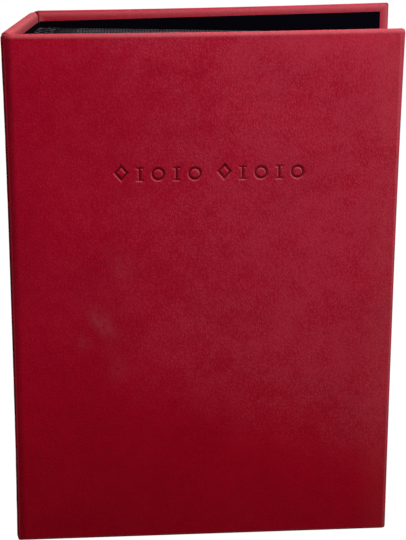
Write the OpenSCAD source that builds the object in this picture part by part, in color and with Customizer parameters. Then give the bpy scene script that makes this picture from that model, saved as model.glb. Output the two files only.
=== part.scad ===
// Padded slip-in photo album, standing on end with its covers ajar.
// Frame: x runs along the front cover from spine to fore edge, y from the front
// cover to the back cover, z up. The origin is under the middle of the bounding box.

/* [Case] */
// Height of the covers, foot to head
cover_h = 240; // [180:1:320]
// Width of each cover, from the spine's outer face to the fore edge
cover_w = 176; // [130:1:240]
// Depth of the spine, from outer face to outer face of the two covers
spine_w = 78; // [60:1:110]
// Thickness of the grey boards
board_t = 2.2; // [1.6:0.1:3]
// Thickness of the foam on each board's outer face
padding_t = 0.8; // [0.6:0.1:2]
// Thickness of the leatherette
skin_t = 0.5; // [0.4:0.05:0.8]
// Roundness of the padded edges
edge_r = 1.6; // [1.2:0.1:1.9]
// Roundness of the panels' corners, seen from the front
corner_r = 1.8; // [1.5:0.1:5]
// How far the leatherette is turned in over the inside of each board
turnin_w = 15; // [8:1:20]

/* [Lining] */
// Thickness of the black lining
lining_t = 0.3; // [0.2:0.05:0.5]
// Red border left between the lining and the edge of the board
lining_margin = 4.5; // [3:0.5:7]
// Red border beside the back cover's lining, at its fore edge
back_lining_side = 5.1; // [3:0.1:7]
// How far the back cover's hand-laid lining climbs towards its fore edge
lining_slant = 0.8; // [0:0.1:1.5]
// How far the covers' linings stop short of their spine side
lining_gap = 0.4; // [0.3:0.1:3]

/* [Joints between covers and spine] */
// Room between a cover's inside and the spine panel's nearest edge
joint_room = 1.2; // [1:0.1:4]
// Outer radius of the folded leatherette
fold_r = 1.2; // [1.2:0.1:1.6]
// How far the fold lies below the padded faces
joint_sink = 0.3; // [0.2:0.05:0.5]
// How far the fold stops short of the head and foot
joint_drop = 0.5; // [0.4:0.1:2]
// How far the spine panel stands out beyond the covers' outer corners
spine_proud = 1.0; // [0:0.1:1.2]
// Gap between the hinge line and the cover panel's edge
hinge_gap = 0.2; // [0.1:0.05:0.6]

/* [Posture] */
// Lean of the spine away from square with the front cover, degrees
spine_lean = 9.4; // [0:0.1:12]
// Angle of the back cover away from parallel with the front cover, degrees
back_ajar = 6.6; // [0:0.1:20]
// Angle of the last leaf towards the front cover, degrees
last_leaf_angle = 9.5; // [4:0.1:10]

/* [Binding] */
// Width of the glued strips at the spine
bind_w = 10; // [6:0.5:16]
// Thickness of the cloth glued over the back of the block
mull_t = 0.4; // [0.2:0.05:0.8]
// How far the cloth stops short of the block's head and foot
mull_inset = 12; // [2:1:30]
// Thickness of the glue that joins the spacer strips at their backs
glue_t = 0.3; // [0.2:0.05:1]
// Room between the front cover's lining and the nearest glued strip
block_room = 0.6; // [0.4:0.05:2]
// How far the spacer strips stop short of the leaves' fold line
spacer_step = 0.7; // [0.5:0.1:2]

/* [Leaves] */
// Number of leaves
leaf_count = 20; // [6:1:20]
// Thickness of the black card in each leaf
card_t = 0.3; // [0.2:0.05:0.4]
// How far the leaves stop short of the covers' head and foot
leaf_inset = 7; // [5:0.5:12]
// How far the leaves stop short of the front cover's fore edge
fore_inset = 3.3; // [2:0.1:8]
// Radius of the crease where each leaf folds
crease_r = 0.25; // [0.2:0.01:0.35]
// Gap between the crease and its glued strip
crease_gap = 0.1; // [0.05:0.01:0.2]

/* [Pockets] */
// Thickness of the clear film
film_t = 0.12; // [0.08:0.01:0.15]
// Gap between film and card in which a print slides
pocket_gap = 0.25; // [0.2:0.01:0.3]
// Width of the welds across the leaf
weld_w = 3; // [2:0.5:6]
// Width of the weld down the fore edge
fore_weld_w = 2; // [1:0.5:6]
// Distance from the crease to the open mouth of the pockets
mouth_x = 1.5; // [1:0.1:8]
// Pockets on each side of a leaf, one above the other
pocket_rows = 2; // [1:1:3]

/* [Stamped ornament] */
// Length of the stamped band
ornament_w = 87; // [60:1:110]
// Height of the band's tall marks
ornament_h = 7.4; // [5:0.1:12]
// Height of the band's middle above the foot
ornament_z = 178; // [120:1:190]
// Distance of the band's middle from the spine's outer face
ornament_x = 90.5; // [70:0.5:100]
// Width of the stamped strokes
stroke_w = 0.9; // [0.6:0.05:1.1]
// Depth of the stamping in the leatherette
stamp_d = 0.3; // [0.1:0.05:0.35]
// Space between the band's two groups of marks
ornament_gap = 5; // [3:0.5:8]

/* [Hidden] */
arc_n = 5;                                   // steps in a quarter round
panel_t = board_t + padding_t + 2 * skin_t;  // whole thickness of a padded panel
function dir(a) = [cos(a), sin(a)];
function rad(c, r, a) = c + r * dir(a);

spine_a = 90 - spine_lean;         // direction of the spine in plan
spine_along = dir(spine_a);
spine_in = dir(-spine_lean);       // from the spine's outer face inwards
back_root = spine_w * spine_along; // outer corner of spine and back cover
back_along = dir(back_ajar);

// the fold's centre is the hinge line: it lies fold_r + joint_sink from both faces
fold_d = fold_r + joint_sink;
front_inner_a = spine_a;                       // angle between front cover and spine
back_inner_a = 180 - (spine_a - back_ajar);    // angle between back cover and spine
front_hinge = fold_d / sin(front_inner_a / 2) * dir(spine_a / 2);
back_hinge = back_root + fold_d / sin(back_inner_a / 2) * dir(back_ajar - back_inner_a / 2);
// along each cover, the hinge line lies this far from the outer corner
front_hinge_x = fold_d / tan(front_inner_a / 2);
back_hinge_x = fold_d / tan(back_inner_a / 2);
panel_x = max(front_hinge_x, back_hinge_x) + hinge_gap;   // covers start here
joint_w = (panel_t + (panel_t - spine_proud) * sin(spine_lean) + joint_room) / cos(spine_lean);

// block of leaves, in the spine panel's own frame: v along the spine, u inwards
block_u = panel_t + lining_t + mull_t;
stub_u = block_u + glue_t;
crease_u = block_u + bind_w;
crease_in = crease_u - spine_proud;  // from the line through the covers' outer corners
block_v0 = (panel_t + lining_t + block_room + crease_in * sin(spine_lean)) / cos(spine_lean);
block_v1 = spine_w - joint_w;
leaf_pitch = (block_v1 - block_v0) / leaf_count;
leaf_z0 = leaf_inset;
leaf_z1 = cover_h - leaf_inset;
first_crease = (block_v0 + leaf_pitch / 2) * spine_along + crease_in * spine_in;
leaf_w = cover_w - fore_inset - first_crease[0];
leaf_ids = [for (i = [1 : leaf_count]) i];
function leaf_pos(i) = (block_v0 + leaf_pitch * (i - 0.5)) * spine_along + crease_in * spine_in;
function leaf_angle(i) = -last_leaf_angle * (i - 1) / (leaf_count - 1);
function two(i) = i < 10 ? str("0", i) : str(i);
function card_name(i) = str("leaf_", two(i), "_card");
function sleeve_name(i) = str("leaf_", two(i), "_sleeve");

// middle of the bounding box
back_tip = back_root + (cover_w - edge_r) * back_along;
spine_edge_x = (joint_w + edge_r) * spine_along[0] + (edge_r - spine_proud) * spine_in[0] - edge_r;
x_min = min(front_hinge[0] - fold_r, spine_edge_x);
x_max = max(cover_w, back_tip[0] + (panel_t - edge_r) * sin(back_ajar) + edge_r);
y_max = back_tip[1] - edge_r * cos(back_ajar) + edge_r;
mid = [(x_min + x_max) / 2, y_max / 2];

leatherette_red = [0.59, 0.13, 0.19];
joint_red = [0.5, 0.09, 0.15];
foam_white = [0.9, 0.88, 0.84];
board_grey = [0.55, 0.53, 0.5];
lining_black = [0.07, 0.07, 0.09];
cloth_white = [0.85, 0.84, 0.8];
card_black = [0.1, 0.1, 0.12];
strip_grey = [0.62, 0.6, 0.6];
film_clear = [0.75, 0.78, 0.82];

// ---------- frames ----------
module placed() { translate([-mid[0], -mid[1], 0]) children(); }
// cover frames: x from the outer corner to the fore edge, y from the outer face inwards
module front_frame() { placed() children(); }
module back_frame() {
    placed() translate([back_root[0], back_root[1], 0])
        rotate([0, 0, back_ajar]) mirror([0, 1, 0]) children();
}
// spine frame: x from front to back, y from the outer face inwards
module spine_frame() {
    placed() rotate([0, 0, spine_a]) mirror([0, 1, 0]) translate([0, -spine_proud, 0]) children();
}
module leaf_frame(i) {
    placed() translate([leaf_pos(i)[0], leaf_pos(i)[1], 0])
        rotate([0, 0, leaf_angle(i)]) children();
}

// ---------- padded panels ----------
function quarter(c, r, a0) = [for (k = [0 : arc_n]) rad(c, r, a0 + 90 * k / arc_n)];
function round_rect(p, q, r) = concat(
    quarter([q[0] - r, q[1] - r], r, 0), quarter([p[0] + r, q[1] - r], r, 90),
    quarter([p[0] + r, p[1] + r], r, 180), quarter([q[0] - r, p[1] + r], r, 270));

// block rounded on its edges by r and at its corners in face view by rc
module slab(p, q, r, rc) {
    intersection() {
        translate([0, 0, p[2]]) linear_extrude(q[2] - p[2])
            polygon(round_rect([p[0], p[1]], [q[0], q[1]], r));
        translate([p[0] - 1, 0, 0]) rotate([90, 0, 90]) linear_extrude(q[0] - p[0] + 2)
            polygon(round_rect([p[1], p[2]], [q[1], q[2]], r));
        translate([0, q[1] + 1, 0]) rotate([90, 0, 0]) linear_extrude(q[1] - p[1] + 2)
            polygon(round_rect([p[0], p[2]], [q[0], q[2]], rc));
    }
}
module envelope(x0, x1) { slab([x0, 0, 0], [x1, panel_t, cover_h], edge_r, corner_r); }
module stuffing(x0, x1) {
    slab([x0 + skin_t, skin_t, skin_t],
         [x1 - skin_t, panel_t - skin_t, cover_h - skin_t],
         edge_r - skin_t, corner_r - skin_t);
}
module board(x0, x1) {
    intersection() {
        stuffing(x0, x1);
        translate([x0, skin_t + padding_t, 0]) cube([x1 - x0, board_t + skin_t, cover_h]);
    }
}
module padding(x0, x1) {
    difference() {
        stuffing(x0, x1);
        translate([x0, skin_t + padding_t, 0]) cube([x1 - x0, board_t + skin_t, cover_h]);
    }
}
// leatherette with its turn-ins: side_in across, turnin_w at head and foot
module leatherette(x0, x1, side_in) {
    difference() {
        envelope(x0, x1);
        stuffing(x0, x1);
        translate([x0 + side_in, panel_t - skin_t - 0.1, turnin_w])
            cube([x1 - x0 - 2 * side_in, skin_t + 1, cover_h - 2 * turnin_w]);
    }
}
// lining over the turn-ins, with the card that fills the space between them; a and
// b are the borders left at the panel's two sides, and climb is how much higher the
// lining's head is at its far side
module lining(x0, x1, side_in, a, b, climb = 0) {
    w = x1 - x0 - a - b;
    h = cover_h - 2 * lining_margin;
    translate([x0 + a, panel_t + lining_t, lining_margin]) rotate([90, 0, 0])
        linear_extrude(lining_t) polygon([[0, 0], [w, 0], [w, h + climb], [0, h]]);
    translate([x0 + side_in, panel_t - skin_t, turnin_w])
        cube([x1 - x0 - 2 * side_in, skin_t, cover_h - 2 * turnin_w]);
}

// ---------- stamped ornament: rings, bars and lozenges in two groups ----------
mark_small = 0.8;                                  // small marks against tall ones
group_marks = 5;
mark_pitch = (ornament_w - ornament_gap) / (2 * group_marks);
function mark_x(k) = -ornament_w / 2 + (k + 0.5) * mark_pitch
    + (k >= group_marks ? ornament_gap : 0);
function mark_h(k) = k % group_marks == 0 ? ornament_h : ornament_h * mark_small;
module ring_mark(h) {
    difference() { circle(d = h, $fn = 40); circle(d = h - 2 * stroke_w, $fn = 40); }
}
module bar_mark(h) {
    square([stroke_w, h], center = true);
    for (s = [-1, 1]) translate([0, s * (h - stroke_w / 2) / 2])
        square([3 * stroke_w, stroke_w / 2], center = true);
}
module lozenge(h, w) { polygon([[0, h / 2], [w / 2, 0], [0, -h / 2], [-w / 2, 0]]); }
module lozenge_mark(h) {
    difference() {
        lozenge(h, h * 0.85);
        lozenge(h - 3 * stroke_w, (h - 3 * stroke_w) * 0.85);
    }
}
module ornament() {
    for (k = [0 : 2 * group_marks - 1])
        translate([mark_x(k), (mark_h(k) - ornament_h) / 2]) {
            if (k % group_marks == 0) lozenge_mark(mark_h(k));
            else if (k % 2 == 0) ring_mark(mark_h(k));
            else bar_mark(mark_h(k));
        }
}

// ---------- case ----------
module front_board() { color(board_grey) front_frame() board(panel_x, cover_w); }
module front_padding() { color(foam_white) front_frame() padding(panel_x, cover_w); }
module front_leatherette() {
    color(leatherette_red) front_frame() difference() {
        leatherette(panel_x, cover_w, turnin_w);
        translate([ornament_x, stamp_d, ornament_z]) rotate([90, 0, 0])
            linear_extrude(stamp_d + 1) ornament();
    }
}
module front_lining() {
    color(lining_black) front_frame() lining(panel_x, cover_w, turnin_w, lining_gap, lining_margin);
}
module back_board() { color(board_grey) back_frame() board(panel_x, cover_w); }
module back_padding() { color(foam_white) back_frame() padding(panel_x, cover_w); }
module back_leatherette() {
    color(leatherette_red) back_frame() leatherette(panel_x, cover_w, turnin_w);
}
module back_lining() {
    color(lining_black) back_frame()
        lining(panel_x, cover_w, turnin_w, lining_gap, back_lining_side, lining_slant);
}
spine_side_in = 2 * edge_r;
module spine_board() { color(board_grey) spine_frame() board(joint_w, spine_w - joint_w); }
module spine_padding() { color(foam_white) spine_frame() padding(joint_w, spine_w - joint_w); }
module spine_leatherette() {
    color(leatherette_red) spine_frame()
        leatherette(joint_w, spine_w - joint_w, spine_side_in);
}
module spine_lining() {
    color(lining_black) spine_frame()
        lining(joint_w, spine_w - joint_w, spine_side_in, 0, 0);
}

// ---------- folded joints ----------
// band of the given thickness round the fold, in plan: c the hinge line, a_in and
// a_out the directions away from it along cover and spine, reach how far they run
function fold_pts(c, a1, a2, n1, n2, r, reach) = concat(
    [rad(rad(c, r, n1), reach, a1)],
    [for (k = [0 : 2 * arc_n]) rad(c, r, n1 + (n2 - n1) * k / (2 * arc_n))],
    [rad(rad(c, r, n2), reach, a2)]);
module fold_band(c, a1, a2, n1, n2, t) {
    outer = fold_pts(c, a1, a2, n1, n2, fold_r, joint_w);
    inner = fold_pts(c, a1, a2, n1, n2, fold_r - t, joint_w);
    n = len(inner);
    polygon(concat(outer, [for (k = [0 : n - 1]) inner[n - 1 - k]]));
}
module panel_plan(x0, x1) { polygon(round_rect([x0, 0], [x1, panel_t], edge_r)); }
module panel_plans() {
    panel_plan(panel_x, cover_w);
    rotate(spine_a) mirror([0, 1]) translate([0, -spine_proud])
        panel_plan(joint_w, spine_w - joint_w);
    translate(back_root) rotate(back_ajar) mirror([0, 1]) panel_plan(panel_x, cover_w);
}
module joint_layer(z0, z1, t, front) {
    placed() translate([0, 0, z0]) linear_extrude(z1 - z0) difference() {
        if (front) fold_band(front_hinge, 0, spine_a, 270, 180 - spine_lean, t);
        else fold_band(back_hinge, back_ajar, spine_a + 180, 90 + back_ajar, 180 - spine_lean, t);
        panel_plans();
    }
}
// leatherette across the joint, doubled by the turn-ins at head and foot
module joint_strip(front) {
    joint_layer(turnin_w, cover_h - turnin_w, skin_t, front);
    joint_layer(joint_drop, turnin_w, 2 * skin_t, front);
    joint_layer(cover_h - turnin_w, cover_h - joint_drop, 2 * skin_t, front);
}
module front_joint() { color(joint_red) joint_strip(true); }
module back_joint() { color(joint_red) joint_strip(false); }

// ---------- binding ----------
module binding_cloth() {
    color(cloth_white) spine_frame()
        translate([block_v0, panel_t + lining_t, leaf_z0 + mull_inset])
            cube([block_v1 - block_v0, mull_t, leaf_z1 - leaf_z0 - 2 * mull_inset]);
}
// glued edge of one leaf's card, straight behind its crease
module stub(i) {
    v = block_v0 + leaf_pitch * (i - 0.5);
    translate([v - card_t / 2, stub_u, leaf_z0])
        cube([card_t, crease_u - crease_r - crease_gap - stub_u, leaf_z1 - leaf_z0]);
}
module leaf_stubs() { color(card_black) spine_frame() for (i = leaf_ids) stub(i); }
// thick strips between the stubs, which make room for the prints, glued up in one
// block: the glue runs down their backs
module spacer_strips() {
    len_u = crease_u - crease_r - crease_gap - spacer_step - block_u;
    color(strip_grey) spine_frame() difference() {
        translate([block_v0, block_u, leaf_z0])
            cube([block_v1 - block_v0, len_u, leaf_z1 - leaf_z0]);
        for (i = leaf_ids)
            translate([block_v0 + leaf_pitch * (i - 0.5) - card_t / 2, stub_u, leaf_z0 - 1])
                cube([card_t, len_u, leaf_z1 - leaf_z0 + 2]);
    }
}

// ---------- leaves ----------
module leaf_card(i) {
    color(card_black) leaf_frame(i) {
        translate([0, 0, leaf_z0]) cylinder(r = crease_r, h = leaf_z1 - leaf_z0, $fn = 16);
        translate([0, -card_t / 2, leaf_z0]) cube([leaf_w, card_t, leaf_z1 - leaf_z0]);
    }
}
// clear film on one side of the card, held off it by the welds
module pockets() {
    film_w = leaf_w - mouth_x;
    row_h = (leaf_z1 - leaf_z0 - weld_w) / pocket_rows;
    translate([mouth_x, card_t / 2 + pocket_gap, leaf_z0])
        cube([film_w, film_t, leaf_z1 - leaf_z0]);
    for (k = [0 : pocket_rows])
        translate([mouth_x, card_t / 2, leaf_z0 + k * row_h])
            cube([film_w, pocket_gap, weld_w]);
    translate([leaf_w - fore_weld_w, card_t / 2, leaf_z0])
        cube([fore_weld_w, pocket_gap, leaf_z1 - leaf_z0]);
}
module leaf_sleeve(i) {
    color(film_clear) leaf_frame(i) { pockets(); mirror([0, 1, 0]) pockets(); }
}

front_board();
front_padding();
front_leatherette();
front_lining();
spine_board();
spine_padding();
spine_leatherette();
spine_lining();
back_board();
back_padding();
back_leatherette();
back_lining();
front_joint();
back_joint();
binding_cloth();
spacer_strips();
leaf_stubs();
for (i = leaf_ids) leaf_card(i);
for (i = leaf_ids) leaf_sleeve(i);
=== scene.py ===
"""Padded slip-in photo album, standing on end with its covers ajar.

Sizes are in millimetres in each piece's own frame and turned into metres when a mesh is made.
Lamps, the floor and the patterns of the materials are in metres.
"""
import math

import bmesh
import bpy
import numpy as np
from mathutils import Matrix, Vector


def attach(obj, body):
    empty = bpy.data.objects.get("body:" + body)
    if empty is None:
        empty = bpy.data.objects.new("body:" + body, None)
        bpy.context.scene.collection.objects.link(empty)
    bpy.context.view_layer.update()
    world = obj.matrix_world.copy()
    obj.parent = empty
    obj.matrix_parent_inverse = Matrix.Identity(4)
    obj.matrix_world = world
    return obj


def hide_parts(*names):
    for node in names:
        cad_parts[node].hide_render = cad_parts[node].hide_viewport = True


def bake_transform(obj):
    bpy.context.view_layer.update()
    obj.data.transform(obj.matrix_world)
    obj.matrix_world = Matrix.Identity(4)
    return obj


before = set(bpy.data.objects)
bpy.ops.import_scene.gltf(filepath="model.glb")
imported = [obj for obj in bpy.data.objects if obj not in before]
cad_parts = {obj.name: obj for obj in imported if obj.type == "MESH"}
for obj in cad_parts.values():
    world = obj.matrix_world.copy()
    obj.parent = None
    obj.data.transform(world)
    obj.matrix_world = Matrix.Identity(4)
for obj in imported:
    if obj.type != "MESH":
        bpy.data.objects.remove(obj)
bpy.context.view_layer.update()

# ---------------------------------------------------------------- sizes of the album
# As in the solids, line by line: panels, what is glued to them, joints, leans, leaves, pockets
COVER_H, COVER_W, SPINE_W = 240.0, 176.0, 78.0
PANEL_T, SKIN_T, TURNIN_W = 4.0, 0.5, 15.0
LINING_T, CLOTH_T, BIND_W = 0.3, 0.4, 10.0
FOLD_R, JOINT_SINK, JOINT_DROP, HINGE_GAP, SPINE_PROUD = 1.2, 0.3, 0.5, 0.2, 1.0
JOINT_ROOM, BLOCK_ROOM = 1.2, 0.6                     # spare width in the joint and before the first leaf
SPINE_LEAN, BACK_AJAR, LAST_LEAF = math.radians(9.4), math.radians(6.6), math.radians(9.5)
LEAVES, CARD_T, LEAF_INSET, FORE_INSET = 20, 0.3, 7.0, 3.3
FILM_T, POCKET_GAP, WELD_W, FORE_WELD_W, MOUTH_X = 0.12, 0.25, 3.0, 2.0, 1.5


def heading(a):
    return np.array([math.cos(a), math.sin(a)])


SPINE_A = math.pi / 2 - SPINE_LEAN
SPINE_ALONG, SPINE_IN = heading(SPINE_A), heading(-SPINE_LEAN)
BACK_ROOT = SPINE_W * SPINE_ALONG
BACK_ALONG = heading(BACK_AJAR)
BACK_IN = np.array([math.sin(BACK_AJAR), -math.cos(BACK_AJAR)])
FRONT_ALONG, FRONT_IN = np.array([1.0, 0.0]), np.array([0.0, 1.0])
FOLD_D = FOLD_R + JOINT_SINK
FRONT_CORNER = SPINE_A                                # angle between front cover and spine
BACK_CORNER = math.pi - (SPINE_A - BACK_AJAR)         # angle between back cover and spine
FRONT_HINGE = FOLD_D / math.sin(FRONT_CORNER / 2) * heading(SPINE_A / 2)
BACK_HINGE = BACK_ROOT + FOLD_D / math.sin(BACK_CORNER / 2) * heading(BACK_AJAR - BACK_CORNER / 2)
PANEL_X = FOLD_D / math.tan(FRONT_CORNER / 2) + HINGE_GAP
JOINT_W = (PANEL_T + (PANEL_T - SPINE_PROUD) * math.sin(SPINE_LEAN) + JOINT_ROOM) / math.cos(SPINE_LEAN)
CREASE_U = PANEL_T + LINING_T + CLOTH_T + BIND_W - SPINE_PROUD
BLOCK_V0 = (PANEL_T + LINING_T + BLOCK_ROOM + CREASE_U * math.sin(SPINE_LEAN)) / math.cos(SPINE_LEAN)
LEAF_PITCH = (SPINE_W - JOINT_W - BLOCK_V0) / LEAVES
LEAF_Z0, LEAF_Z1 = LEAF_INSET, COVER_H - LEAF_INSET
LEAF_W = COVER_W - FORE_INSET - ((BLOCK_V0 + LEAF_PITCH / 2) * SPINE_ALONG + CREASE_U * SPINE_IN)[0]
MIDDLE = np.array([94.0274, 48.5041])                 # middle of the album's box, in plan


class Place:
    """A piece's own frame: x along the piece, y through its thickness, z up."""

    def __init__(self, root, along, across):
        self.root, self.along, self.across = np.array(root, float), along, across

    def world(self, p):
        p = np.asarray(p, float)
        plan = self.root + p[..., :1] * self.along + p[..., 1:2] * self.across - MIDDLE
        return np.concatenate([plan, p[..., 2:3]], axis=-1) / 1000.0


FRONT = Place((0, 0), FRONT_ALONG, FRONT_IN)
SPINE = Place(-SPINE_PROUD * SPINE_IN, SPINE_ALONG, SPINE_IN)
BACK = Place(BACK_ROOT, BACK_ALONG, BACK_IN)
PLAN = Place((0, 0), np.array([1.0, 0.0]), np.array([0.0, 1.0]))


def leaf_place(i):
    root = (BLOCK_V0 + LEAF_PITCH * (i - 0.5)) * SPINE_ALONG + CREASE_U * SPINE_IN
    a = -LAST_LEAF * (i - 1) / (LEAVES - 1)
    return Place(root, heading(a), heading(a + math.pi / 2))


# ---------------------------------------------------------------- short ways to build node trees
def group(name, inputs, outputs, kind="ShaderNodeTree"):
    """A node group with inputs (kind, label, value) and outputs (kind, label): its tree, way in and way out."""
    g = bpy.data.node_groups.new(name, kind)
    for socket, label, value in inputs:
        s = g.interface.new_socket(label, in_out="INPUT", socket_type=socket)
        if value is not None:
            s.default_value = value
    for socket, label in outputs:
        g.interface.new_socket(label, in_out="OUTPUT", socket_type=socket)
    return g, g.nodes.new("NodeGroupInput"), g.nodes.new("NodeGroupOutput")


class Wires:
    """Short ways to place and join nodes in one tree."""

    def __init__(self, tree):
        self.tree = tree

    def node(self, kind, **settings):
        n = self.tree.nodes.new(kind)
        for k, v in settings.items():
            setattr(n, k, v)
        return n

    def put(self, socket, value):
        if isinstance(value, bpy.types.NodeSocket):
            self.tree.links.new(value, socket)
        elif value is not None:
            socket.default_value = value

    def fill(self, node, **values):
        """Set or link a node's inputs by name, with _ for a space, and give its outputs."""
        for k, v in values.items():
            self.put(node.inputs[k.replace("_", " ")], v)
        return node.outputs

    def use(self, g, **values):
        return self.fill(self.node("ShaderNodeGroup", node_tree=g), **values)

    def math(self, op, a, b=None, c=None, clamp=False):
        n = self.node("ShaderNodeMath", operation=op, use_clamp=clamp)
        for k, v in enumerate((a, b, c)):
            self.put(n.inputs[k], v)
        return n.outputs[0]

    def times(self, *values):
        """The product of two or more values."""
        product = values[0]
        for v in values[1:]:
            product = self.math("MULTIPLY", product, v)
        return product

    def stretched(self, vector, scale):
        return self.fill(self.node("ShaderNodeMapping"), Vector=vector, Scale=scale)[0]

    def noise(self, vector, scale, detail=3.0, rough=0.55):
        texture = self.node("ShaderNodeTexNoise")
        return self.fill(texture, Vector=vector, Scale=scale, Detail=detail, Roughness=rough)["Fac"]

    def ramp(self, value, lo, hi, to_lo=0.0, to_hi=1.0):
        n = self.node("ShaderNodeMapRange", interpolation_type="SMOOTHSTEP")
        return self.fill(n, Value=value, From_Min=lo, From_Max=hi, To_Min=to_lo, To_Max=to_hi)["Result"]

    def mix(self, fac, a, b, blend="MIX"):
        n = self.node("ShaderNodeMix", data_type="RGBA", blend_type=blend)
        self.put(n.inputs[0], fac)
        self.put(n.inputs[6], a)
        self.put(n.inputs[7], b)
        return n.outputs[2]

    def axes(self, coords):
        """The X, Y and Z outputs of a vector."""
        return self.fill(self.node("ShaderNodeSeparateXYZ"), Vector=coords)

    def attribute(self, name):
        return self.node("ShaderNodeAttribute", attribute_name=name).outputs["Fac"]


# ---------------------------------------------------------------- camera, lamps and floor
# The view as it was found for a cover VIEW_COVER_H mm tall; make_camera scales it to this one
VIEW_COVER_H, VIEW_SPOT = 340.0, (41.9, -986.0, 484.3)
VIEW_YAW, VIEW_PITCH, VIEW_ROLL = math.radians(-4.77), math.radians(16.699), math.radians(0.18)
VIEW_CLOSER = 2.6                      # mm that the camera then moves in along its line of sight
PICTURE_PX, FOCAL_PX, SENSOR_MM = 540.0, 1600.0, 36.0


def make_camera():
    yaw, pitch, roll = VIEW_YAW, VIEW_PITCH, VIEW_ROLL
    fwd = Vector((-math.sin(yaw) * math.cos(pitch), math.cos(yaw) * math.cos(pitch), -math.sin(pitch)))
    spot = np.array(VIEW_SPOT) * (COVER_H / VIEW_COVER_H) - np.array([*MIDDLE, 0]) + VIEW_CLOSER * np.array(fwd)
    level = Vector((math.cos(yaw), math.sin(yaw), 0))
    upright = level.cross(fwd)
    right = math.cos(roll) * level + math.sin(roll) * upright
    up = -math.sin(roll) * level + math.cos(roll) * upright
    data = bpy.data.cameras.new("camera")
    data.sensor_width, data.sensor_fit = SENSOR_MM, "AUTO"
    data.lens = FOCAL_PX * SENSOR_MM / PICTURE_PX
    data.clip_start = 0.01
    cam = bpy.data.objects.new("camera", data)
    bpy.context.scene.collection.objects.link(cam)
    m = Matrix((right, up, -fwd)).transposed().to_4x4()
    m.translation = Vector(spot / 1000.0)
    cam.matrix_world = m
    bpy.context.scene.camera = cam


def area_lamp(name, spot, aim, size, power):
    """White rectangle of light at spot, facing aim, with its power in watts."""
    data = bpy.data.lights.new(name, "AREA")
    data.shape, data.size, data.size_y = "RECTANGLE", *size
    data.energy = power
    lamp = bpy.data.objects.new(name, data)
    bpy.context.scene.collection.objects.link(lamp)
    lamp.location = spot
    lamp.rotation_euler = (Vector(aim) - Vector(spot)).to_track_quat("-Z", "Y").to_euler()


def seen_directly(w):
    """1 for rays that show the background itself: camera, glossy and transmitted ones."""
    rays = w.node("ShaderNodeLightPath").outputs
    either = w.math("MAXIMUM", rays["Is Camera Ray"], rays["Is Glossy Ray"])
    return w.math("MAXIMUM", either, rays["Is Transmission Ray"])


def make_world(ambient):
    """White all round to look at, but lighting the album only faintly."""
    world = bpy.data.worlds.new("studio")
    bpy.context.scene.world = world
    world.use_nodes = True
    world.node_tree.nodes.clear()
    w = Wires(world.node_tree)
    level = w.fill(w.node("ShaderNodeMapRange"), Value=seen_directly(w), To_Min=ambient, To_Max=1.0)
    white = w.fill(w.node("ShaderNodeBackground"), Color=(1, 1, 1, 1), Strength=level["Result"])
    w.fill(w.node("ShaderNodeOutputWorld"), Surface=white[0])


def make_floor(glow, paint, share):
    """White floor that still takes the album's shadow, and throws little light back up.

    glow is how bright it shines to what sees it, paint how pale it is under the lamps, and
    share how much of what is seen is glow.
    """
    bpy.ops.mesh.primitive_plane_add(size=8, location=(0, 0, -0.0004))
    floor = bpy.context.object
    floor.name = "floor"
    mat = bpy.data.materials.new("floor white")
    mat.use_nodes = True
    mat.node_tree.nodes.clear()
    w = Wires(mat.node_tree)
    matt = w.fill(w.node("ShaderNodeBsdfDiffuse"), Color=(paint, paint, paint, 1))
    shine = w.fill(w.node("ShaderNodeEmission"), Color=(1, 1, 1, 1), Strength=glow)
    both = w.node("ShaderNodeMixShader")
    for socket, value in zip(both.inputs, (w.times(seen_directly(w), share), matt[0], shine[0])):
        w.put(socket, value)
    w.fill(w.node("ShaderNodeOutputMaterial"), Surface=both.outputs[0])
    floor.data.materials.append(mat)


make_camera()
make_world(ambient=0.08)
make_floor(glow=1.12, paint=0.25, share=0.9)
area_lamp("top softbox", (0.2, -0.3, 0.66), (0, 0, 0.17), (0.5, 0.42), 6.1)
area_lamp("back softbox", (0.05, 0.45, 0.7), (0, 0.02, 0.22), (0.6, 0.4), 5.0)


# ---------------------------------------------------------------- node groups
def grain_group():
    """Pressed leather grain: small upright pebbles with pores between them, and short streaks."""
    g, gin, gout = group("leather grain",
                         [("NodeSocketVector", "Coords", None), ("NodeSocketFloat", "Pebble Scale", 1500.0),
                          ("NodeSocketFloat", "Pore Depth", 0.5)],
                         [("NodeSocketFloat", "Height"), ("NodeSocketFloat", "Tone")])
    w = Wires(g)
    coords = gin.outputs["Coords"]
    upright = w.stretched(coords, (1.0, 1.0, 0.38))
    pebbles = w.node("ShaderNodeTexVoronoi", feature="DISTANCE_TO_EDGE")
    pebbles = w.fill(pebbles, Vector=upright, Scale=gin.outputs["Pebble Scale"])
    swell = w.ramp(pebbles["Distance"], 0.0, 0.32)
    fine = w.noise(upright, 3200.0, 2.0)
    streak = w.noise(w.stretched(coords, (1.0, 1.0, 0.34)), 1050.0)
    height = w.math("MULTIPLY_ADD", swell, gin.outputs["Pore Depth"], w.times(fine, 0.35))
    height = w.math("MULTIPLY_ADD", streak, 0.5, height)
    w.fill(gout, Height=height, Tone=w.math("MULTIPLY_ADD", streak, 0.7, w.times(swell, 0.3)))
    return g


def wear_and_sheen_group():
    """Paler edges, partly rubbed wear and partly painted sheen: a mask from the piece's own attribute for
    painted sheen on its edges, broken up by noise.
    """
    g, gin, gout = group("edge wear",
                         [("NodeSocketVector", "Coords", None), ("NodeSocketFloat", "Rim", 0.0),
                          ("NodeSocketFloat", "Amount", 0.5)],
                         [("NodeSocketFloat", "Mask")])
    w = Wires(g)
    patchy = w.noise(gin.outputs["Coords"], 160.0, 4.0, 0.6)
    mask = w.ramp(w.times(gin.outputs["Rim"], patchy), 0.3, 0.75)
    w.fill(gout, Mask=w.math("MULTIPLY", mask, gin.outputs["Amount"], clamp=True))
    return g


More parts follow.
